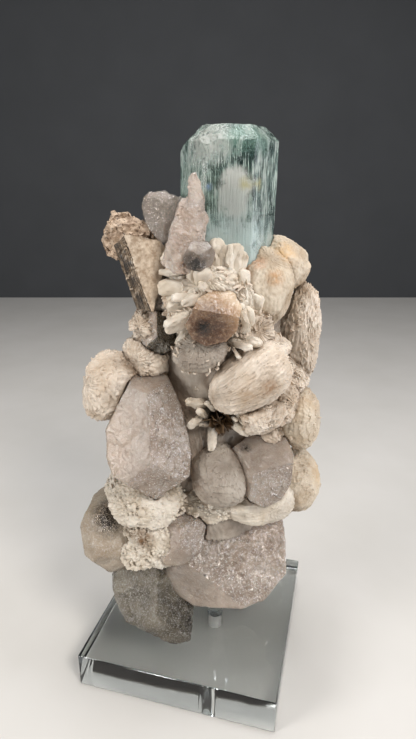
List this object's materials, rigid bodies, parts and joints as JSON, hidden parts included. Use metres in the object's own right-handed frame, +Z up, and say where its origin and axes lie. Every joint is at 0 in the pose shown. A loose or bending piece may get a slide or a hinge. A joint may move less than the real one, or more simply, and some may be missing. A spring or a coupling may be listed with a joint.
{
  "type": "aquamarine crystal specimen",
  "caption": "Aquamarine prism rising from a column of albite rosettes and quartz, on a clear rod let into a square acrylic block.",
  "frame": {"origin": "centre of the square block's underside, on the surface it stands on", "axes": "+Z up along the column; +X and +Y along the block's sides, with the front at -Y"},
  "size_m": [0.0948, 0.08, 0.2118],
  "materials": {
    "acrylic": "clear, polished",
    "aquamarine": "glassy faces with fine upright striations",
    "albite": "matt to pearly, stained in the creases",
    "quartz": "frosted, cloudy",
    "smoky_quartz": "glassy to frosted",
    "stained_quartz": "iron stained, dull",
    "mica": "pearly sheets with a ribbed dark edge",
    "feldspar": "rough"
  },
  "bodies": {
    "root": {"acrylic_block": "acrylic", "acrylic_rod": "acrylic", "aquamarine": "aquamarine", "albite_matrix": "albite", "quartz_base": "quartz", "quartz_foot": "smoky_quartz", "quartz_lower_left": "quartz", "quartz_left": "quartz", "quartz_right": "quartz", "quartz_spire": "quartz", "smoky_quartz_small": "smoky_quartz", "smoky_quartz_tall": "smoky_quartz", "grey_quartz": "smoky_quartz", "stained_quartz": "stained_quartz", "mica_book": "mica", "feldspar_crystal": "feldspar"}
  },
  "joints": []
}
